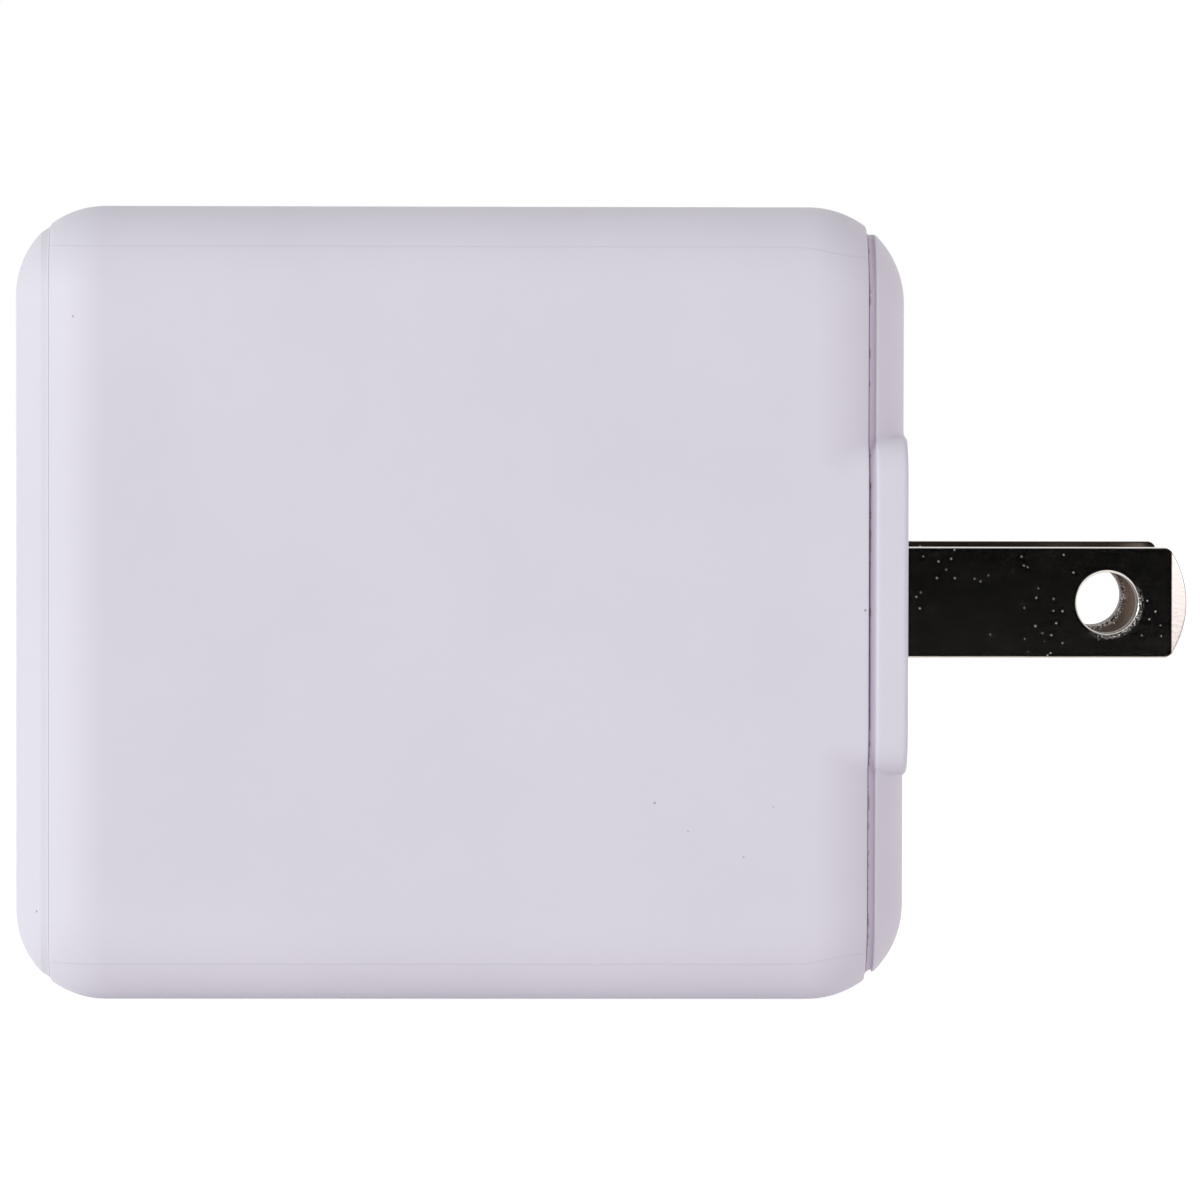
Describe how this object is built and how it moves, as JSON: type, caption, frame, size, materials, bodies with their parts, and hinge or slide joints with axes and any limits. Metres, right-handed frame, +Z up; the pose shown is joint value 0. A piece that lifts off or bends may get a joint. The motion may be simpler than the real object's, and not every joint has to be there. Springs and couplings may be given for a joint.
{
  "type": "usb wall charger",
  "caption": "Compact wall charger: rounded white housing in a sleeve and two end caps, flat two-blade plug fixed in one end, USB-C port in the other.",
  "frame": {"origin": "middle of the flat plug face, halfway between the two blades", "axes": "+X out of the plug face along the blades, towards the outlet; Y across the thickness, from one blade to the other; +Z up, across the blades' width"},
  "size_m": [0.0673, 0.0276, 0.0454],
  "materials": {
    "white_shell": "fine matte moulded",
    "inner_plastic": "plain moulded",
    "nickel_blade": "bright nickel plate",
    "brass_contact": "plain strip",
    "board_laminate": "solder mask over glass laminate",
    "port_steel": "drawn stainless",
    "black_moulding": "plain moulded",
    "fuse_tube": "clear tube with plated caps",
    "blue_epoxy": "dipped coating",
    "yellow_case": "moulded box",
    "ferrite": "sintered ferrite",
    "copper_winding": "enamelled wire",
    "can_sleeve": "heat-shrunk film",
    "winding_tape": "polyester tape",
    "bare_aluminium": "plain sheet and drawn can",
    "soft_pad": "soft filled silicone",
    "clear_sheet": "thin polyester film"
  },
  "bodies": {
    "root": {"sleeve": "white_shell", "port_cap": "white_shell", "plug_cap": "white_shell", "blade_retainer": "inner_plastic", "blade_near": "nickel_blade", "blade_far": "nickel_blade", "contact_near": "brass_contact", "contact_far": "brass_contact", "main_board": "board_laminate", "port_board": "board_laminate", "usb_c_shell": "port_steel", "usb_c_tongue": "black_moulding", "bridge_rectifier": "black_moulding", "power_switch": "black_moulding", "controller_chip": "black_moulding", "rectifier_chip": "black_moulding", "transformer_bobbin": "black_moulding", "fuse": "fuse_tube", "varistor": "blue_epoxy", "safety_capacitor": "blue_epoxy", "suppression_capacitor": "yellow_case", "line_choke_core": "ferrite", "output_choke_core": "ferrite", "transformer_core_upper": "ferrite", "transformer_core_lower": "ferrite", "line_choke_winding": "copper_winding", "output_choke_winding": "copper_winding", "bulk_capacitor_inner": "can_sleeve", "bulk_capacitor_outer": "can_sleeve", "transformer_winding": "winding_tape", "output_capacitor_inner": "bare_aluminium", "output_capacitor_outer": "bare_aluminium", "heat_spreader": "bare_aluminium", "thermal_pad": "soft_pad", "insulation_sheet": "clear_sheet"}
  },
  "joints": []
}
